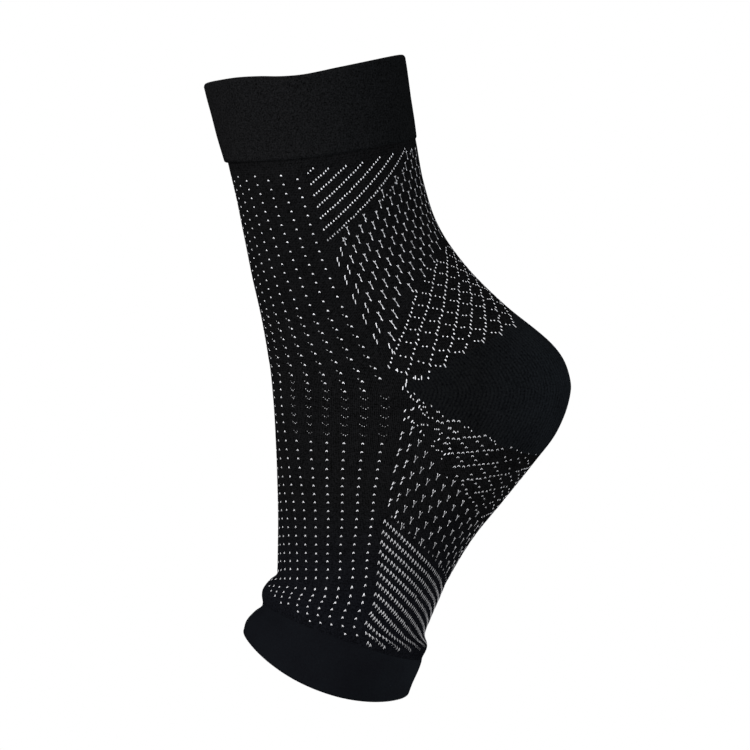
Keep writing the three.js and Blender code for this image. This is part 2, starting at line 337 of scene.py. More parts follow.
# A loft is its sections with a table of the angle at which each share of the girth has been passed
def makeLoft(sections):
    rows = np.linspace(sections[0, 0], sections[-1, 0], loftRows)
    angles = np.linspace(0, 2 * np.pi, loftAngles)
    rings = ringPoint(between(sections, rows)[:, None, :], angles[None, :])
    shares = np.linspace(0, 1, loftAngles)
    table = np.stack([np.interp(shares, passed / passed[-1], angles) for passed in lengthsAlong(rings)])
    return {"sections": sections, "rows": rows, "angles": table}


# Point of a loft at a share of the girth and a row, with the angle read between four corners of the table
def loftPoint(loft, share, row):
    share, row = np.broadcast_arrays(np.asarray(share, float), np.asarray(row, float))
    rows, table = loft["rows"], loft["angles"]
    lastRow, lastShare = len(rows) - 1, table.shape[1] - 1
    i = np.clip((row - rows[0]) / (rows[1] - rows[0]), 0, lastRow - edgeGuard)
    j = np.clip((share % 1.0) * lastShare, 0, lastShare - edgeGuard)
    i0, j0 = np.floor(i).astype(int), np.floor(j).astype(int)
    a, b = i - i0, j - j0
    angle = ((1 - a) * ((1 - b) * table[i0, j0] + b * table[i0, j0 + 1])
             + a * ((1 - b) * table[i0 + 1, j0] + b * table[i0 + 1, j0 + 1]))
    return ringPoint(between(loft["sections"], row), angle)


def unit(vectors):
    return vectors / np.linalg.norm(vectors, axis=-1, keepdims=True)


# Point, outward unit normal and unit way towards the toe, from small steps along both parameters
def loftFrame(loft, share, row):
    point = loftPoint(loft, share, row)
    along = loftPoint(loft, share, row + rowStep) - loftPoint(loft, share, row - rowStep)
    around = loftPoint(loft, share + shareStep, row) - loftPoint(loft, share - shareStep, row)
    return point, unit(np.cross(along, around)), unit(along)


bodyLoft = makeLoft(bodySections)
ankleWeltLoft = makeLoft(ankleWeltSections)
toeWeltLoft = makeLoft(toeWeltSections)

# The knit has 192 wales (columns of stitches) round it, counted from the middle of the instep, and a course
# (row of stitches) every quarter row. The instep panel turns a little round the foot, as worn. Columns of its
# knots: row, share of the girth at its last column of dots, share between columns of dots.
walesRound = 192
coursesPerRow = 4
slackCourse = 0.93  # millimetres along a wale
panel = {"half": 40, "columns": 16, "spacing": 5.0, "lastWale": 37.5, "backTurn": 0.6}
panelKnots = np.array([
    [0, 0.2010, 0.0275], [4, 0.2070, 0.0270], [8, 0.2120, 0.0257], [12, 0.2125, 0.0252], [15, 0.2070, 0.0248],
    [17.5, 0.2020, 0.0243], [19.5, 0.1980, 0.0241], [22.5, 0.2060, 0.0260], [26, 0.2075, 0.0265],
    [31, 0.2145, 0.0256], [34, 0.2200, 0.0246], [38, 0.2325, 0.0236], [42, 0.2440, 0.0227],
    [46, 0.2590, 0.0221], [50.3, 0.2730, 0.0203],
])


# Share of the girth where a wale lies in a row: even steps over the panel of dot columns, and even steps from
# each of its edges to the back line, which turns by backTurn as far as the panel does
def shareAt(wale, row):
    wale, row = np.broadcast_arrays(np.asarray(wale, float), np.asarray(row, float))
    wale = (wale + walesRound / 2) % walesRound - walesRound / 2
    last, step = (lookUp(panelKnots[:, [0, i]], row) for i in (1, 2))
    near = last + 0.5 * step
    far = last - (panel["columns"] - 0.5) * step
    back = 0.5 + panel["backTurn"] * (last - (panel["columns"] - 1) / 2 * step)
    half = panel["half"]
    sideWales = walesRound / 2 - half
    inPanel = last - step * (panel["lastWale"] - wale) / panel["spacing"]
    nearSide = near + (wale - half) / sideWales * (back - near)
    farSide = far + (wale + half) / sideWales * (far - back + 1)
    return np.where(wale > half, nearSide, np.where(wale < -half, farSide, inPanel))


# Heel pocket's edges, close to the solids: from its point at the ankle row up and down to the back line
heelEdge = {"point": 10 / 44, "ankleRow": 21.6, "topRow": 16.5, "bottomRow": 28.9, "topCurve": 0.8}


def heelPart(share):
    fromFront = np.abs((share + 0.5) % 1 - 0.5)
    return np.maximum((fromFront - heelEdge["point"]) / (0.5 - heelEdge["point"]), 0)


def heelTopRow(share):
    rise = heelPart(share) ** heelEdge["topCurve"]
    return heelEdge["ankleRow"] - (heelEdge["ankleRow"] - heelEdge["topRow"]) * rise


def heelBottomRow(share):
    fall = np.sin(heelPart(share) * np.pi / 2)
    return heelEdge["ankleRow"] + (heelEdge["bottomRow"] - heelEdge["ankleRow"]) * fall


# Row at which a wale meets an edge of the heel, found by a few rounds because the wales turn
def edgeRow(edge, wales):
    row = np.full(wales.shape, heelEdge["ankleRow"])
    for _ in range(12):
        row = edge(shareAt(wales, row))
    return row


waveTurns = {"wale": 0.31 * np.pi / 3, "course": 0.23, "fade": 0.11, "fadeStart": 1.3}  # radians a stitch
leanWales = 50  # wales from the back line at which the lean is full
mergeWithin = 0.0005  # millimetres
sharpAngle = 50  # degrees


# Closed wall of knit on a grid of wales and rows: down the outside with ribs along the wales and a slow wave,
# round the lower edge, up the inside and round the upper edge. A folded edge is a half circle as wide as the
# wall, in as many steps as the piece gives, and any other edge is cut square.
def knitWall(piece, loft, wales, topRow, bottomRow, shareOf, ring):
    wall = piece["wall"]
    down = np.linspace(0, 1, piece["outerRows"])[:, None]
    up = np.linspace(1, 0, piece["innerRows"])[:, None]
    rowsOut = topRow + (bottomRow - topRow) * down
    rowsIn = topRow + (bottomRow - topRow) * up
    point, out, along = loftFrame(loft, shareOf(wales, rowsOut), rowsOut)
    courseOut = coursesPerRow * rowsOut
    rib = -np.cos(2 * np.pi * wales) * piece["ribDepth"] * np.ones_like(rowsOut)
    wave = np.sin(waveTurns["wale"] * wales + waveTurns["course"] * courseOut)
    wave = wave * np.sin(waveTurns["fade"] * courseOut + waveTurns["fadeStart"])
    layers = [point + out * (rib + piece["wander"] * wave)[..., None]]
    courses = [courseOut]

    def addFold(k, side, steps):
        turns = np.linspace(0, np.pi, steps + 2)[1:-1, None][::side]
        middle = point[k] - out[k] * wall / 2
        lift = np.cos(turns)[..., None] * out[k] * wall / 2
        reach = side * np.sin(turns)[..., None] * along[k] * wall / 2
        layers.append(middle + lift + reach)
        courses.append(courseOut[k] + side * turns * wall / 2)

    if "bottomFold" in piece:
        addFold(-1, 1, piece["bottomFold"])
    inner, innerOut, _ = loftFrame(loft, shareOf(wales, rowsIn), rowsIn)
    layers.append(inner - innerOut * wall)
    courses.append(coursesPerRow * rowsIn)
    if "topFold" in piece:
        addFold(0, -1, piece["topFold"])
    points = np.concatenate(layers)
    courses = np.concatenate(courses)
    rowCount, columnCount = courses.shape
    column = np.arange(columnCount if ring else columnCount - 1)[None, :]
    row = np.arange(rowCount)[:, None]
    below, beside = (row + 1) % rowCount, (column + 1) % columnCount
    corners = [(row, column), (below, column), (below, beside), (row, beside)]
    faces = np.stack([r * columnCount + c for r, c in corners], -1).reshape(-1, 4)
    waleStep = wales[1] - wales[0]
    v = np.stack([courses[r, c] for r, c in corners], -1)
    u = np.stack([wales[column] + shift + 0 * row for shift in (0, 0, waleStep, waleStep)], -1)
    fromBack = walesRound / 2 - u  # stitches lean towards the back line, most at the sides
    fromAnkle = np.abs(v - coursesPerRow * heelEdge["ankleRow"])
    u = u + piece.get("lean", 0.0) * fromAnkle * fromBack / leanWales
    return points.reshape(-1, 3), faces, np.stack([u, v], -1).reshape(-1, 2)


def addPiece(name, points, faces, material):
    mesh = bpy.data.meshes.new(name)
    mesh.from_pydata((points * mm).tolist(), [], faces)
    mesh.materials.append(material)
    mesh.shade_smooth()
    piece = bpy.data.objects.new(name, mesh)
    scene.collection.objects.link(piece)
    return piece


# Knit piece with its UV map of stitches; ends that come to a point are merged
def addKnit(piece, node, material, loft, wales, topRow, bottomRow, shareOf, ring=True):
    points, faces, uvs = knitWall(piece, loft, wales, topRow, bottomRow, shareOf, ring)
    made = addPiece(piece["name"], points, faces.tolist(), material)
    layer = made.data.uv_layers.new(name="stitches")
    layer.data.foreach_set("uv", uvs.ravel())
    if not ring:
        grid = bmesh.new()
        grid.from_mesh(made.data)
        bmesh.ops.remove_doubles(grid, verts=grid.verts, dist=mergeWithin * mm)
        grid.to_mesh(made.data)
        grid.free()
    made.data.set_sharp_from_angle(angle=np.radians(sharpAngle))  # square ends stay crisp
    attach(made, "root")
    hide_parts(node)
    print("knit:", piece["name"], len(made.data.polygons), "faces")
    return made


ringWales = -walesRound / 2 + 0.5 * np.arange(2 * walesRound)
legEnd = edgeRow(heelTopRow, ringWales)
footStart = edgeRow(heelBottomRow, ringWales)

# Folded band round the leg opening; its rim sags a little, by rows at an x
anklePiece = {"name": "ankleWeltKnit", "wall": 2.4, "outerRows": 72, "innerRows": 20, "topFold": 7,
              "bottomFold": 7, "ribDepth": 0.06, "wander": 0.12, "lastRow": 7.68}
rimWave = np.array([[-76, 0], [-68, -0.14], [-60, -0.22], [-51, -0.08], [-43, 0.18], [-34, 0.3], [-20, 0.15],
                    [8, 0]])
rimX = loftPoint(ankleWeltLoft, shareAt(ringWales, 0.0), 0.0)[:, 0]
rimRow = between(rimWave, rimX)[:, 0]
ankleWelt = addKnit(anklePiece, "ankle_welt", weltKnit, ankleWeltLoft, ringWales,
                    rimRow, anklePiece["lastRow"], lambda wale, row: shareAt(wale, 0 * row))

# Leg of the sleeve, from inside the welt down to the ankle and the heel's upper edge
legPiece = {"name": "legKnit", "wall": 1.2, "outerRows": 172, "innerRows": 28, "ribDepth": 0.03,
            "wander": 0.02, "firstRow": -0.4}
leg = addKnit(legPiece, "leg_tube", patternedKnit, bodyLoft, ringWales,
              legPiece["firstRow"], legEnd, shareAt)

# Rounded heel pocket, pointed at both sides of the ankle
heelPiece = {"name": "heelKnit", "wall": 1.6, "outerRows": 110, "innerRows": 26, "ribDepth": 0.02,
             "wander": 0.05, "lean": 0.35, "columns": 211, "nearWales": (20, 95, 4000),
             "farWales": (97, 170, 4000)}


# Wale that passes through a share of the girth in the ankle row, read back from the wales' own shares
def waleAt(share, limits):
    wales = np.linspace(*limits)
    return np.interp(share, shareAt(wales, 0 * wales + heelEdge["ankleRow"]) % 1, wales)


nearPoint = waleAt(heelEdge["point"], heelPiece["nearWales"])
farPoint = waleAt(1 - heelEdge["point"], heelPiece["farWales"])
heelWales = np.linspace(nearPoint, farPoint, heelPiece["columns"])
heelTop = edgeRow(heelTopRow, heelWales)
heelBottom = edgeRow(heelBottomRow, heelWales)
for edge in (heelTop, heelBottom):
    edge[[0, -1]] = heelEdge["ankleRow"]
heel = addKnit(heelPiece, "heel_pocket", heelKnit, bodyLoft, heelWales,
               heelTop, heelBottom, shareAt, ring=False)

# Instep and sole, down to the roll above the toe welt
footPiece = {"name": "footKnit", "wall": 1.2, "outerRows": 204, "innerRows": 28, "ribDepth": 0.03,
             "wander": 0.02, "lastRow": 50.3}
foot = addKnit(footPiece, "foot_tube", patternedKnit, bodyLoft, ringWales,
               footStart, footPiece["lastRow"], shareAt)

# Folded band round the toe opening, flared like a short skirt
toePiece = {"name": "toeWeltKnit", "wall": 2.4, "outerRows": 60, "innerRows": 20, "bottomFold": 7,
            "ribDepth": 0.03, "wander": 0.08, "lastRow": 3.7}
toeWelt = addKnit(toePiece, "toe_welt", toeKnit, toeWeltLoft, ringWales,
                  0 * ringWales, toePiece["lastRow"],
                  lambda wale, row: shareAt(wale, 0 * row + footPiece["lastRow"]))


# Yarn strokes on the face of the knit. A stroke is a row of numbers: wale and course of its start and of its
# end, half width and tone. Each becomes a flat tube, tapered at both ends and half sunk in the knit.
yarn = {"sides": 5, "stations": (0.14, 0.5, 0.86), "swell": (0.82, 1.0, 0.82), "lift": 0.02, "height": 0.08,
        "cross": 0.06}


def stroke(fromWale, fromCourse, toWale, toCourse, radius, tone):
    values = np.broadcast_arrays(fromWale, fromCourse, toWale, toCourse, radius, tone)
    return np.stack([np.asarray(v, float).ravel() for v in values], -1)


# Stroke through a place: reach gives half its run across the wales and along the courses
def dash(wale, course, reach, radius, tone):
    return stroke(wale - reach[0], course - reach[1], wale + reach[0], course + reach[1], radius, tone)


# Knit stitch as two legs that meet in a point towards the leg opening, where they cross a little
def caret(wale, course, width, height, radius, tone, leftLonger=0.0, rightShare=1.0):
    top, bottom, cross = course - height / 2, course + height / 2, yarn["cross"] * width
    left = stroke(wale + cross, top, wale - width / 2, bottom + leftLonger, radius, tone)
    right = stroke(wale - cross, top, wale + width / 2, bottom, radius, tone * rightShare)
    return np.concatenate([left, right])


# Piece of yarn from its strokes, which are repeated on the far side where it is mirrored
def addYarn(name, strokes, mirrored=True):
    strokes = np.concatenate(strokes)
    if mirrored:
        strokes = np.concatenate([strokes, strokes * (-1, 1, -1, 1, 1, 1)])
    wales, rows = strokes[:, [0, 2]], strokes[:, [1, 3]] / coursesPerRow
    radius, tones = strokes[:, 4:].T
    places, normals, _ = loftFrame(bodyLoft, shareAt(wales, rows), rows)
    start, end = places[:, 0], places[:, 1]
    out = unit(normals[:, 0] + normals[:, 1])
    side = np.cross(unit(end - start), out)
    sides = yarn["sides"]
    angle = 2 * np.pi * np.arange(sides) / sides
    upright = yarn["height"] * np.cos(angle)[:, None] * out[:, None, :]
    level = np.sin(angle)[:, None] * side[:, None, :] * radius[:, None, None]

    def centre(t):
        return (start + (end - start) * t + out * yarn["lift"])[:, None, :]

    rings = [centre(t) + swell * (upright + level) for t, swell in zip(yarn["stations"], yarn["swell"])]
    points = np.concatenate([*rings, centre(0.0), centre(1.0)], axis=1)
    spot = np.arange(sides)
    nextSpot = (spot + 1) % sides
    quads = np.concatenate([np.stack([k * sides + spot, k * sides + nextSpot,
                                      (k + 1) * sides + nextSpot, (k + 1) * sides + spot], -1)
                            for k in range(len(rings) - 1)])
    tail, tip = len(rings) * sides, len(rings) * sides + 1
    lastRing = (len(rings) - 1) * sides
    caps = np.concatenate([np.stack([0 * spot + tail, nextSpot, spot], -1),
                           np.stack([lastRing + spot, lastRing + nextSpot, 0 * spot + tip], -1)])
    offsets = points.shape[1] * np.arange(len(strokes))[:, None, None]
    faces = (quads[None] + offsets).reshape(-1, 4).tolist() + (caps[None] + offsets).reshape(-1, 3).tolist()
    made = addPiece(name, points.reshape(-1, 3), faces, greyYarn)
    shade = made.data.attributes.new("tone", "FLOAT", "POINT")
    shade.data.foreach_set("value", np.repeat(tones, points.shape[1]).astype(np.float32))
    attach(made, "root")
    print("yarn:", name, len(strokes), "strokes,", len(faces), "faces")
    return made


# Length of a course at a place: the knit stretches on the heel side and above the toe opening
def courseLength(wale, course):
    before, after = ((course + shift) / coursesPerRow for shift in (-0.5, 0.5))
    start, end = (loftPoint(bodyLoft, shareAt(wale, row), row) for row in (before, after))
    return np.linalg.norm(end - start, axis=-1)


# Machine unevenness: small shifts of place and tone, as standard deviations
unevenness = {"wale": 0.05, "course": 0.07, "tone": 0.1}


def shaken(wale, course, tone, much=1.0):
    shape = np.shape(wale)
    wale = wale + unevenness["wale"] * much * rng.standard_normal(shape)
    course = course + unevenness["course"] * much * rng.standard_normal(shape)
    return wale, course, tone * (1 + unevenness["tone"] * rng.standard_normal(shape))


# Random shares of a tone, from a lowest one up by a span
def varied(lowest, span, shape):
    return lowest + span * rng.random(shape)


# Course of a numbered line at a wale. A line is given as a wale, its course there and courses a wale.
def lineCourse(piece, number, wale):
    start, course, slope = piece["first"]
    return ramp(wale, start, course + piece["between"] * number, slope)


# Columns and steps of dashes with their wales, which are even steps that ease by the square of the column
def dashGrid(piece):
    column, step = np.meshgrid(np.arange(piece["columns"]), np.arange(*piece["steps"]), indexing="ij")
    first, each, ease = piece["wales"]
    return column, step, first + each * column + ease * column ** 2


# Instep panel: columns of dots whose rows slant down towards the far side. Round the ankle the knit is
# stretched: a dot first trails a speck, and then parts into four.
dots = {
    # The dots' tone falls from leg to foot: painted shade, as less light reaches the foot
    "tone": (0.95, 0.74), "width": (0.6, 0.74), "height": (0.6, 0.8),  # on leg and foot
    "turn": [(80, 0), (120, 1)], "leftLonger": 0.25, "radius": 0.17, "firstCourse": 4.3,
    "end": (20, 198.2, 0.22),  # rises round the front
    "gapRow": 22, "trailFrom": 62, "trailColumns": 9, "splitFrom": 90, "splitTo": 109, "splitColumns": 6,
    "trailReach": (0.1, 0.2), "speckReach": (0.03, 0.15), "speckTones": (0.1, 1.4),
    "apart": [(0, 1.0), (6, 0.6)],  # specks lie closer towards the front
}
# Columns: wales across, courses down, half width, share of the tone
dotTrail = (-0.85, -0.6, 0.11, 0.6)
dotSpecks = [(-0.95, -0.5, 0.13, 0.6), (-0.3, 0.1, 0.15, 1.0), (0.36, 0.3, 0.15, 0.9),
             (0.95, -0.4, 0.13, 0.6)]
# Columns: number of a dot row, its course at the panel's near edge
dotRows = np.array([
    [-12, -37.8], [0, 6.85], [20, 81.2], [23, 90.4], [26, 101.6], [32, 128], [41, 164.4], [45, 178.8],
    [46, 181.3], [47, 183.5], [48, 186.4], [49, 189.6], [50, 193.2], [51, 196.6],
])
# Columns: course at the near edge, courses down from one column to the next
dotSlants = [(7, 1.89), (25, 1.82), (44, 1.74), (59, 1.5), (67, 1.3), (71, 1.22), (78, 1.2), (100, 1.25),
             (148, 1.05), (200, 1.05)]
rowNumber, columnNumber = np.meshgrid(np.arange(dotRows[0, 0], dotRows[-1, 0] + 1),
                                      np.arange(panel["columns"]), indexing="ij")
dotFirst = lookUp(dotRows, rowNumber)
dotWale = panel["lastWale"] - panel["spacing"] * columnNumber
dotCourse = dotFirst + lookUp(dotSlants, dotFirst) * columnNumber
dotEnd = ramp(np.minimum(dotWale, dots["end"][0]), *dots["end"])
kept = (dotCourse > dots["firstCourse"]) & (dotCourse < dotEnd)
kept &= (rowNumber != dots["gapRow"]) | (columnNumber != 0)  # one dot is missing by the heel's point
dotFirst, dotWale, dotCourse, dotColumn = (v[kept] for v in (dotFirst, dotWale, dotCourse, columnNumber))
towardsFoot = lookUp(dots["turn"], dotCourse)
dotTone, dotWidth, dotHeight = (
    first + (last - first) * towardsFoot for first, last in (dots["tone"], dots["width"], dots["height"]))
dotWale, dotCourse, dotTone = shaken(dotWale, dotCourse, dotTone)
stretched = dotCourse > dots["splitFrom"]
split = stretched & (dotFirst < dots["splitTo"]) & (dotColumn < dots["splitColumns"])
trails = (dotCourse > dots["trailFrom"]) & ~stretched & (dotColumn < dots["trailColumns"])
apart = lookUp(dots["apart"], dotColumn)


def dotStrokes(chosen):
    whole, parted, trailing = chosen & ~split, chosen & split, chosen & trails
    across, down, radius, share = dotTrail
    strokes = [
        caret(dotWale[whole], dotCourse[whole], dotWidth[whole], dotHeight[whole], dots["radius"],
              dotTone[whole], dots["leftLonger"] * towardsFoot[whole]),
        dash(dotWale[trailing] + across, dotCourse[trailing] + down, dots["trailReach"], radius,
             share * dotTone[trailing]),
    ]
    for across, down, radius, share in dotSpecks:
        brightness = varied(*dots["speckTones"], parted.sum())  # some specks hardly show
        strokes.append(dash(dotWale[parted] + across * apart[parted], dotCourse[parted] + down,
                            dots["speckReach"], radius, share * brightness * dotTone[parted]))
    return strokes


onLeg = dotCourse < edgeRow(heelTopRow, dotWale) * coursesPerRow
legDots = addYarn("legDotYarn", dotStrokes(onLeg), mirrored=False)
footDots = addYarn("footDotYarn", dotStrokes(~onLeg), mirrored=False)

# Slanted stripes below the leg opening, a stitch on every wale. The last line is dim, and a line of a few
# specks follows it.
upStripe = {
    "lines": 7, "first": (42, 4.3, -0.78), "between": 4.58, "firstWale": 41.5, "wales": 54,
    "firstTop": 3.0, "top": (42, 4.2, -0.067), "speckFrom": 46, "speckShare": 0.3,
    "width": 0.38, "height": 0.8, "radius": 0.12, "tone": 1.0, "lastTone": 0.8, "dimTone": 0.5,
    "dimBefore": 48,
}
lastLine = upStripe["lines"] - 1
line, wale = np.meshgrid(np.arange(lastLine + 2), upStripe["firstWale"] + np.arange(upStripe["wales"]),
                         indexing="ij")
course = lineCourse(upStripe, line, wale)
top = np.where(line == 0, upStripe["firstTop"], ramp(wale, *upStripe["top"]))
specks = (wale > upStripe["speckFrom"]) & (rng.random(wale.shape) < upStripe["speckShare"])
kept = (course > top) & ((line <= lastLine) | specks)
dim = (line > lastLine) | (wale < upStripe["dimBefore"])
stripeTone = np.where(dim, upStripe["dimTone"], upStripe["lastTone"])
stripeTone = np.where(line < lastLine, upStripe["tone"], stripeTone)
wale, course, stripeTone = shaken(wale[kept], course[kept], stripeTone[kept])
strokes = caret(wale, course, upStripe["width"], upStripe["height"], upStripe["radius"], stripeTone)
upperStripes = addYarn("upperStripeYarn", [strokes])

# Upright dashes on the side of the leg, in staggered columns between stripes and lattice: a thin float in two
# halves with two ears at the top and a knob below. The first two columns are double and stepped. The courses
# climb towards the back, fan out from a course near the stripes and close up towards the lattice.
upDash = {
    "columns": 22, "steps": (-5, 8), "wales": (42.2, 2.36, -0.004), "evenOdd": (33.0, 36.75), "pitch": 7.55,
    "fromWale": 47, "climb": 0.1, "fan": (0.0016, 20), "close": (0.025, 48), "lower": 0.3, "lowerAfter": 3,
    "firstCourse": 3.0, "belowStripes": 2.45, "aboveLattice": 1.2, "doubleColumns": 2, "tone": 1.0,
    "latticeTop": ((50.2, 69, -1.24), (62.3, 54.0, -0.62)),  # two straight runs, steeper in front
    # Painted shade: the dashes darken towards the back, and their floats darken between the ends where they
    # sink into the knit
    "shadeTowardsBack": [(62, 1.0), (90, 0.75)], "tones": (0.55, 0.5),
    "waists": [(56, 0.85), (74, 0.3)],  # towards the back the float sinks between its ends
}
column, step, wale = dashGrid(upDash)
across = wale - upDash["fromWale"]
course = np.where(column % 2 == 0, *upDash["evenOdd"]) - upDash["climb"] * across + upDash["pitch"] * step
fan, fanCourse = upDash["fan"]
close, closeCourse = upDash["close"]
course = course - fan * across * (course - fanCourse) - close * np.maximum(course - closeCourse, 0)
course = course + upDash["lower"] * (column > upDash["lowerAfter"])
latticeTop = np.maximum(*(ramp(wale, *run) for run in upDash["latticeTop"]))
kept = course > lineCourse(upStripe, lastLine, wale) + upDash["belowStripes"]
kept &= (course > upDash["firstCourse"]) & (course < latticeTop - upDash["aboveLattice"])
doubled = column[kept] < upDash["doubleColumns"]
wale, course, dashTone = shaken(wale[kept], course[kept], upDash["tone"])
w, c = wale[~doubled], course[~doubled]
t = dashTone[~doubled] * lookUp(upDash["shadeTowardsBack"], w)
waist = lookUp(upDash["waists"], w)
leftEar, rightEar, upperHalf, lowerHalf = varied(*upDash["tones"], (4, len(w)))  # no two floats show alike
strokes = [
    stroke(w - 0.12, c - 1.3, w, c + 0.1, 0.11, waist * upperHalf * t),
    stroke(w + 0.1, c - 0.35, w + 0.02, c + 1.1, 0.11, waist * lowerHalf * t),
    stroke(w - 0.34, c - 1.6, w - 0.1, c - 0.95, 0.14, leftEar * t),
    stroke(w + 0.36, c - 1.7, w + 0.02, c - 0.9, 0.14, rightEar * t),
    stroke(w - 0.16, c + 0.8, w + 0.12, c + 1.65, 0.19, t),  # knob
]
w, c, t = wale[doubled], course[doubled], dashTone[doubled]
strokes += [
    stroke(w + 0.3, c - 1.95, w - 0.14, c + 0.15, 0.17, t),  # upper half of a double dash
    stroke(w + 0.56, c - 1.85, w + 0.2, c - 1.4, 0.12, 0.8 * t),  # its ear
    stroke(w + 0.3, c + 0.1, w - 0.26, c + 2.0, 0.16, 0.95 * t),  # its lower half
]
upperDashes = addYarn("upperDashYarn", strokes)

# Lattice above the heel: chains that climb towards the back line. Every third stitch of a chain is a slanted
# knot, from which a tie of two stitches leads to the next knot of the next chain.
upLattice = {
    "radius": 0.285, "tone": 1.0, "missing": 0.02, "shake": 1.6, "firstKnot": 41.4, "spacing": 3.45,
    "knots": 16, "knotRadius": 0.19, "knotTone": 0.85, "knotRise": 0.15, "knotReach": (0.0, 0.6),
    "linkReach": (0.04, 0.26), "tieReach": (0.1, 0.14),
    "links": (0.35, 0.65), "ties": ((0.36, 0.42), (0.66, 0.6)),  # shares of the way between knots
    "room": 0.1, "firstChainRoom": 7.0, "startRoom": 1.2,
}
# Columns: wale and course of a chain's bend, courses a wale below and above the bend, first and last wale
upperChains = np.array([
    [46.1, 74.3, 1.39, 1.19, 41.4, 62.2],
    [54.9, 68.9, 1.36, 1.11, 44, 76],
    [58.4, 70.6, 1.42, 1.1, 49.2, 87],
    [61.9, 72, 1.25, 1.06, 55.2, 90],
    [65.8, 72.7, 1.1, 1.03, 62.1, 95.5],
    [70, 73.2, 1, 1, 69, 95.5],
    [78, 70.4, 1, 1, 75.9, 95.5],
    [85.6, 68.2, 1, 1, 82.8, 95.5],
])


def upperChainCourse(chain, wale):
    bendWale, bendCourse, below, above = upperChains[chain, :4]
    return bendCourse - np.where(wale < bendWale, below, above) * (wale - bendWale)


spacing, room = upLattice["spacing"], upLattice["room"]
knotWales = upLattice["firstKnot"] + spacing * np.arange(upLattice["knots"])
linkWales = (knotWales[:, None] + spacing * np.array(upLattice["links"])).ravel()
knots, links, ties = [], [], []
for chain, (first, last) in enumerate(upperChains[:, 4:]):
    for wales, places in ((knotWales, knots), (linkWales, links)):
        wale = wales[(wales > first - room) & (wales < last + room)]
        places.append(np.stack([wale, upperChainCourse(chain, wale)], -1))
    if chain + 1 == len(upperChains):
        continue
    tieEnd = last + (upLattice["firstChainRoom"] if chain == 0 else room)
    knot = knotWales[(knotWales > first - room) & (knotWales < tieEnd)]
    knot = knot[knot + spacing > upperChains[chain + 1, 4] - upLattice["startRoom"]]
    rise = upperChainCourse(chain + 1, knot + spacing) - upperChainCourse(chain, knot)
    for across, down in upLattice["ties"]:
        ties.append(np.stack([knot + across * spacing, upperChainCourse(chain, knot) + down * rise], -1))
wale, course = np.concatenate(knots + links + ties).T
kind = np.repeat(["knot", "link", "tie"], [sum(map(len, places)) for places in (knots, links, ties)])
kept = rng.random(len(wale)) > upLattice["missing"]
kind = kind[kept]
w, c, t = shaken(wale[kept], course[kept], upLattice["tone"], upLattice["shake"])
isKnot = kind == "knot"
strokes = [dash(w[isKnot], c[isKnot] - upLattice["knotRise"], upLattice["knotReach"], upLattice["knotRadius"],
                upLattice["knotTone"] * t[isKnot])]
for name in ("link", "tie"):
    chosen = kind == name
    strokes.append(dash(w[chosen], c[chosen], upLattice[name + "Reach"], upLattice["radius"], t[chosen]))
upperLattice = addYarn("upperLatticeYarn", strokes)

# Lattice below the heel: near-level chains of two-legged stitches with ties of two that step down between
# them, and a cluster at the heel's point. Starts are the chains' first wales.
lowLattice = {
    "starts": [50.9, 54.4, 56.4, 58.1, 61.9, 64.4, 69.9, 75.6], "firstNumber": -2, "pitch": 1.37,
    "first": (56, 112.3, -0.2), "between": 7.6, "end": 73.0, "endStep": 8.3, "lastWale": 95,
    "firstTie": 49.9, "tieSpacing": 4.1, "tieCount": 11, "ties": ((0.0, 2.4), (1.5, 4.5)),
    "tieBefore": 0.5, "tieAfter": 1.5, "tieSize": 0.88, "overHeel": 3, "shake": 2.6, "radius": 0.13,
    # Its tone, below the upper lattice's, is painted shade: less light reaches below the heel
    "tone": 0.88, "missing": [(60, 0.06), (84, 0.14)], "widths": [(60, 1.0), (78, 0.62)],
    "pointStroke": ((-0.22, 0.6), 0.21, 0.95),  # reach, half width, tone
    "pointSpeck": ((0.08, 0.34), 0.17, 0.85),
}
chains, ties = [], []
tieWales = lowLattice["firstTie"] + lowLattice["tieSpacing"] * np.arange(lowLattice["tieCount"])
for number, start in enumerate(lowLattice["starts"], lowLattice["firstNumber"]):
    end = min(lowLattice["end"] + lowLattice["endStep"] * number, lowLattice["lastWale"])
    wale = np.arange(start, end, lowLattice["pitch"])
    chains.append(np.stack([wale, lineCourse(lowLattice, number, wale)], -1))
    if start == lowLattice["starts"][-1]:
        continue
    tie = tieWales[(tieWales > start - lowLattice["tieBefore"]) & (tieWales < end + lowLattice["tieAfter"])]
    for across, down in lowLattice["ties"]:
        ties.append(np.stack([tie + across, lineCourse(lowLattice, number, tie) + down], -1))
wale, course = np.concatenate(chains + ties).T
level = np.arange(len(wale)) < sum(map(len, chains))
heelCourse = edgeRow(heelBottomRow, wale) * coursesPerRow
kept = rng.random(len(wale)) > lookUp(lowLattice["missing"], wale)
kept &= course > heelCourse - lowLattice["overHeel"]
w, c, t = shaken(wale[kept], course[kept], lowLattice["tone"], lowLattice["shake"])
finer = lookUp(lowLattice["widths"], w)  # stitches are narrower towards the sole
latticeRadius = lowLattice["radius"] * np.where(level[kept], 1.0, lowLattice["tieSize"]) * finer
strokes = [
    stroke(w - 0.04, c - 0.5, w - 0.38 * finer, c + 0.3, latticeRadius, t),  # left leg
    stroke(w, c - 0.5, w + 0.4 * finer, c + 0.4, 0.9 * latticeRadius, 0.92 * t),  # right leg
]
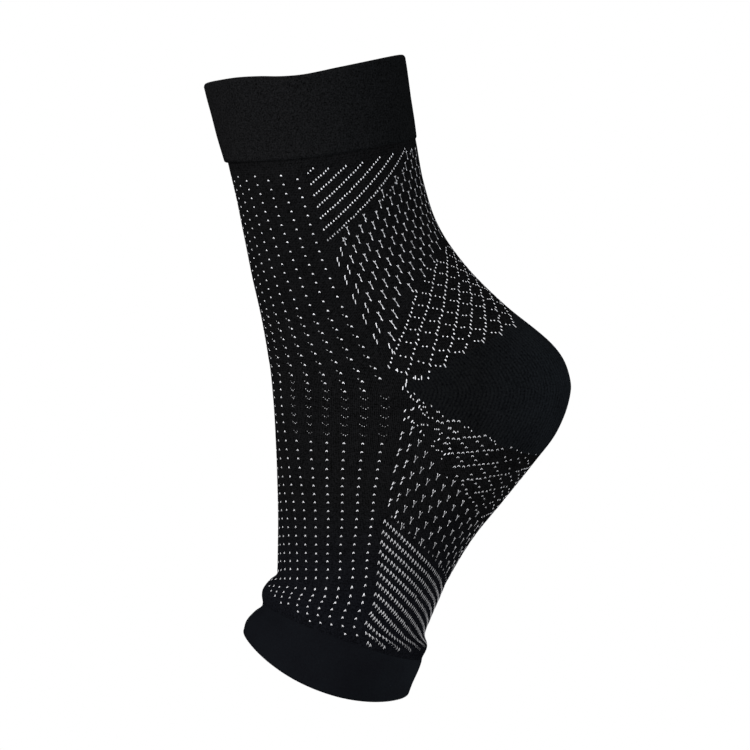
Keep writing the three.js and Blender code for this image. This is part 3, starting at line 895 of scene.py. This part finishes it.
# Charted stitches at the heel's point and along its lower edge: wale and course
pointStrokes = np.array([
    [43, 81.5], [46.5, 83.5], [48, 83.5], [44, 84.5], [43.5, 85.5], [42.5, 86.5], [44, 89], [45.5, 90.5],
    [46, 92.5], [44.5, 93.5], [42.5, 94.5], [43.5, 97], [42.5, 98], [44.5, 98.5], [47, 102.5], [52, 105.5],
    [55.5, 112.5], [54.5, 113],
])
pointSpecks = np.array([
    [43.5, 87.5], [45, 88], [44.5, 90], [46, 90], [47, 91], [47, 92.5], [47.5, 92.5], [49, 92], [46.5, 93.5],
    [44, 94], [50.5, 94], [51, 94], [48, 94.5], [47, 95], [47.5, 95.5], [52, 95.5], [49.5, 96.5],
    [48.5, 96.5], [45, 99], [58, 99.5], [59, 99.5], [47, 99.5], [47.5, 99.5], [48.5, 99.5], [46, 100],
    [54, 100], [54.5, 100], [50.5, 101], [51, 101], [51.5, 101], [60, 101], [55.5, 101.5], [56, 102],
    [56.5, 101.5], [52.5, 102.5], [52, 103], [65.5, 104], [48, 104], [66, 105], [67, 105.5], [51, 106.5],
    [67.5, 107], [54, 107], [54.5, 107.5], [55, 107], [50.5, 109], [51, 109], [55.5, 110], [75, 110.5],
    [52.5, 111], [52, 111], [53.5, 111.5], [77, 112], [80.5, 113], [85, 114], [54, 115.5], [57, 125],
])
strokes.append(dash(*pointStrokes.T, *lowLattice["pointStroke"]))
strokes.append(dash(*pointSpecks.T, *lowLattice["pointSpeck"]))
lowerLattice = addYarn("lowerLatticeYarn", strokes)

# Dashes on the side of the foot: a fork of two arms over a tail, smaller on the sole. The first two columns
# are double and stepped. Each column starts lower than the one before, each odd one by half a step more, and
# the steps narrow by the square of the column. Starts and ends by wale keep clear of lattice and stripes.
lowDash = {
    "columns": 20, "steps": (-4, 9), "wales": (42.2, 2.33, 0.012), "firstCourse": 113.8,
    # Its tone of 0.76 is painted shade: less light reaches the foot than the leg
    "drop": 1.4, "oddDrop": 4.2, "pitch": 8.55, "narrower": 0.011, "doubleColumns": 2, "tone": 0.76,
    "tones": (0.5, 0.9), "sizes": [(50, 1.0), (64, 0.78)],
    "starts": [(42, 100.5), (44.5, 100.5), (47, 105), (49.2, 111), (51.5, 117), (53.8, 122.5), (58.8, 125.5),
               (64.4, 133), (67.3, 140), (70, 141.5), (73, 146), (76, 149.5), (96, 147)],
    "ends": [(42, 145.9), (62, 167.9), (68, 172), (74, 175), (80, 177.5), (86, 179), (96, 182)],
}
column, step, wale = dashGrid(lowDash)
course = lowDash["firstCourse"] + lowDash["drop"] * column + lowDash["oddDrop"] * (column % 2)
course = course + (lowDash["pitch"] - lowDash["narrower"] * column ** 2) * step
kept = (course > lookUp(lowDash["starts"], wale)) & (course < lookUp(lowDash["ends"], wale))
doubled = column[kept] < lowDash["doubleColumns"]
wale, course, dashTone = shaken(wale[kept], course[kept], lowDash["tone"])
w, c, t = wale[~doubled], course[~doubled], dashTone[~doubled]
size = lookUp(lowDash["sizes"], w) * np.minimum(slackCourse / courseLength(w, c), 1)
leftArm, rightArm, stem, tip = varied(*lowDash["tones"], (4, len(w)))  # no two forks show alike
strokes = [
    dash(w - 0.1 * size, c - 1.5 * size, (0.02, 0.5), 0.15, 1.1 * t),  # end of the left arm
    stroke(w - 0.08 * size, c - 1.1 * size, w + 0.06, c + 0.3, 0.12, 0.56 * leftArm * t),  # left arm
    dash(w + 0.56 * size, c - 1.15 * size, (-0.05, 0.34), 0.14, 1.08 * rightArm * t),  # end of the right arm
    stroke(w + 0.48 * size, c - 0.9 * size, w + 0.08, c + 0.2, 0.1, 0.42 * rightArm * t),  # right arm
    stroke(w + 0.06, c - 0.1, w - 0.04, c + 1.2 * size, 0.125, 0.5 * stem * t),  # tail
    dash(w - 0.08, c + 1.4 * size, (-0.04, 0.45), 0.14, 0.85 * tip * t),  # end of the tail
]
w, c, t = wale[doubled], course[doubled], dashTone[doubled]
strokes += [
    stroke(w + 0.28, c - 2.1, w - 0.06, c - 0.1, 0.18, 1.05 * t),  # upper half of a double dash
    stroke(w + 0.72, c - 1.7, w + 0.3, c - 0.9, 0.12, 0.85 * t),  # its ear
    stroke(w + 0.16, c + 0.35, w - 0.25, c + 2.2, 0.18, t),  # its lower half
]
lowerDashes = addYarn("lowerDashYarn", strokes)

# Slanted stripes above the toe opening, straight in millimetres along each wale although the knit bunches
# there. A line of small stitches on every other wale comes first, and stitches are narrower towards the sole.
lowStripe = {
    "lines": 18, "first": 10.5, "between": 4.05, "slope": 0.97, "slopeEase": 0.01, "easeLines": 7,
    "fromWale": 42, "firstWale": 41.6, "wales": 54, "width": 0.7, "height": 1.45, "leftLonger": 0.4,
    # Its tone of 0.55 is painted shade: light from above falls off towards the toe
    "radius": 0.145, "tone": 0.55, "fromCourse": 136.0, "toCourse": 201.0, "steps": 261,
    "end": (45, 199.2, -0.1), "smallFrom": 43, "smallSize": 0.6, "smallTone": 0.8,
    "widths": [(46, 1.0), (66, 0.6)], "rightShares": [(50, 1.0), (66, 0.6)],
}
stripeWales = lowStripe["firstWale"] + np.arange(lowStripe["wales"])
fineCourses = np.linspace(lowStripe["fromCourse"], lowStripe["toCourse"], lowStripe["steps"])
fineRows = fineCourses / coursesPerRow
fineLengths = lengthsAlong(loftPoint(bodyLoft, shareAt(stripeWales[:, None], fineRows), fineRows))
stripeLines = np.arange(-1, lowStripe["lines"] - 1)
slope = lowStripe["slope"] - lowStripe["slopeEase"] * np.clip(stripeLines, 0, lowStripe["easeLines"])
lengths = ramp(stripeWales[:, None], lowStripe["fromWale"],
               lowStripe["first"] + lowStripe["between"] * stripeLines, slope)
course = np.stack([np.interp(wanted, passed, fineCourses) for wanted, passed in zip(lengths, fineLengths)])
wale, line = np.meshgrid(stripeWales, stripeLines, indexing="ij")
everyOther = np.round(wale - lowStripe["firstWale"]) % 2 == 0
kept = (line >= 0) | (wale > lowStripe["smallFrom"]) & everyOther
kept &= course < ramp(wale, *lowStripe["end"])
small = line[kept] < 0
stripeTone = np.where(small, lowStripe["smallTone"], 1.0) * lowStripe["tone"]
wale, course, stripeTone = shaken(wale[kept], course[kept], stripeTone)
stripeSize = np.where(small, lowStripe["smallSize"], 1.0)
finer = stripeSize * lookUp(lowStripe["widths"], wale)
stripeHeight = stripeSize * slackCourse / courseLength(wale, course)
strokes = caret(wale, course, lowStripe["width"] * finer, lowStripe["height"] * stripeHeight,
                lowStripe["radius"] * finer, stripeTone, lowStripe["leftLonger"] * stripeHeight,
                lookUp(lowStripe["rightShares"], wale))
lowerStripes = addYarn("lowerStripeYarn", [strokes])

floorHalf, floorHeight = studio["floorHalf"], studio["floorHeight"]
floorCorners = [(floorHalf * x, floorHalf * y, floorHeight) for x, y in ((-1, -1), (1, -1), (1, 1), (-1, 1))]
floorMesh = bpy.data.meshes.new("studioFloor")
floorMesh.from_pydata(floorCorners, [], [(0, 1, 2, 3)])
floorMesh.materials.append(floorMaterial)
studioFloor = bpy.data.objects.new("studioFloor", floorMesh)
scene.collection.objects.link(studioFloor)
